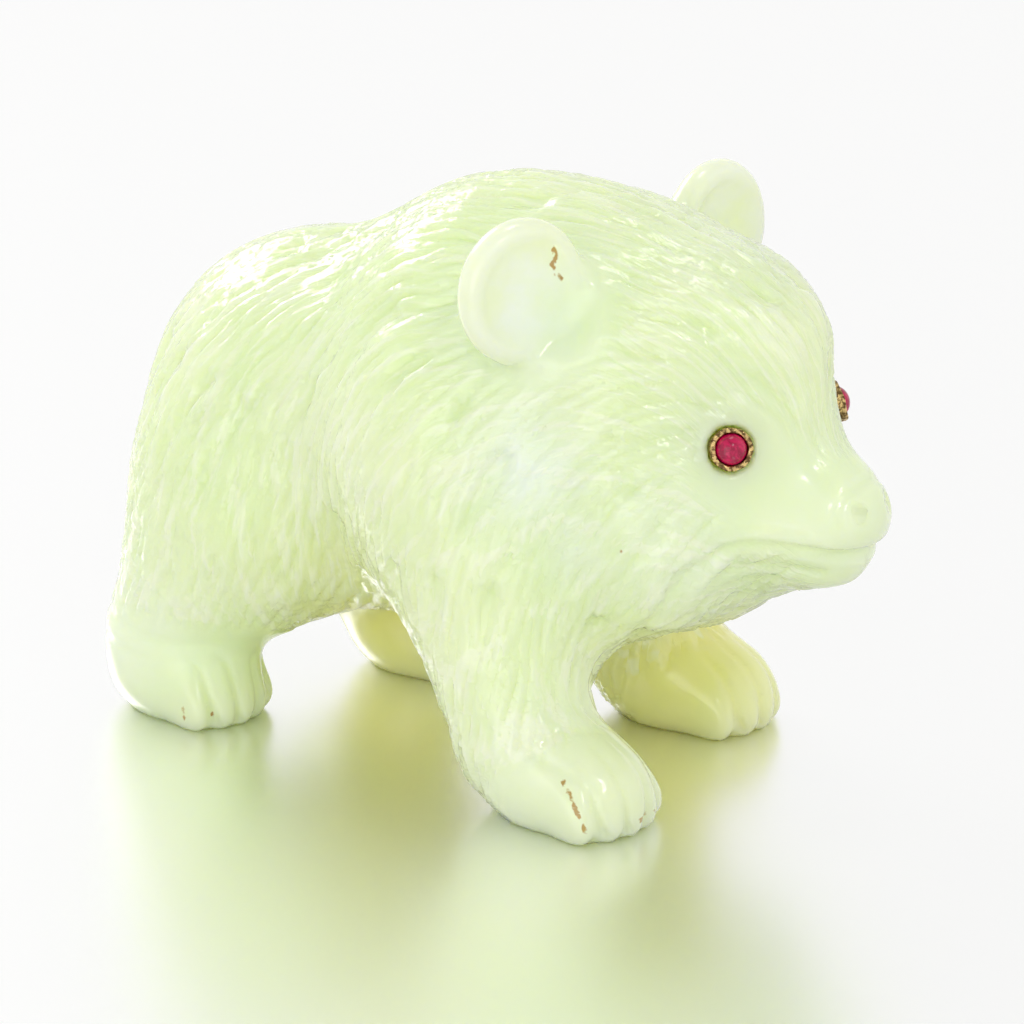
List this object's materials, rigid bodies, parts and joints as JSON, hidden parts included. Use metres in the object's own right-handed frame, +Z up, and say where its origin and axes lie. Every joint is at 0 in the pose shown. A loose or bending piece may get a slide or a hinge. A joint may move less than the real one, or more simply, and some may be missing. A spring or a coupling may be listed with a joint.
{
  "type": "bowenite bear figurine",
  "caption": "Walking bear carved from pale green translucent stone, with incised fur and red cabochon eyes in small gold collets.",
  "frame": {"origin": "on the floor plane, under the centre of the bear's bounding box", "axes": "+X towards the nose, +Y to the bear's left, +Z up"},
  "size_m": [0.066, 0.0356, 0.046],
  "materials": {
    "bowenite": "polished translucent stone",
    "gold": "worn, darkened gold",
    "ruby": "polished"
  },
  "bodies": {
    "root": {"bear_body": "bowenite", "right_eye_setting": "gold", "left_eye_setting": "gold", "right_eye_cabochon": "ruby", "left_eye_cabochon": "ruby"}
  },
  "joints": []
}
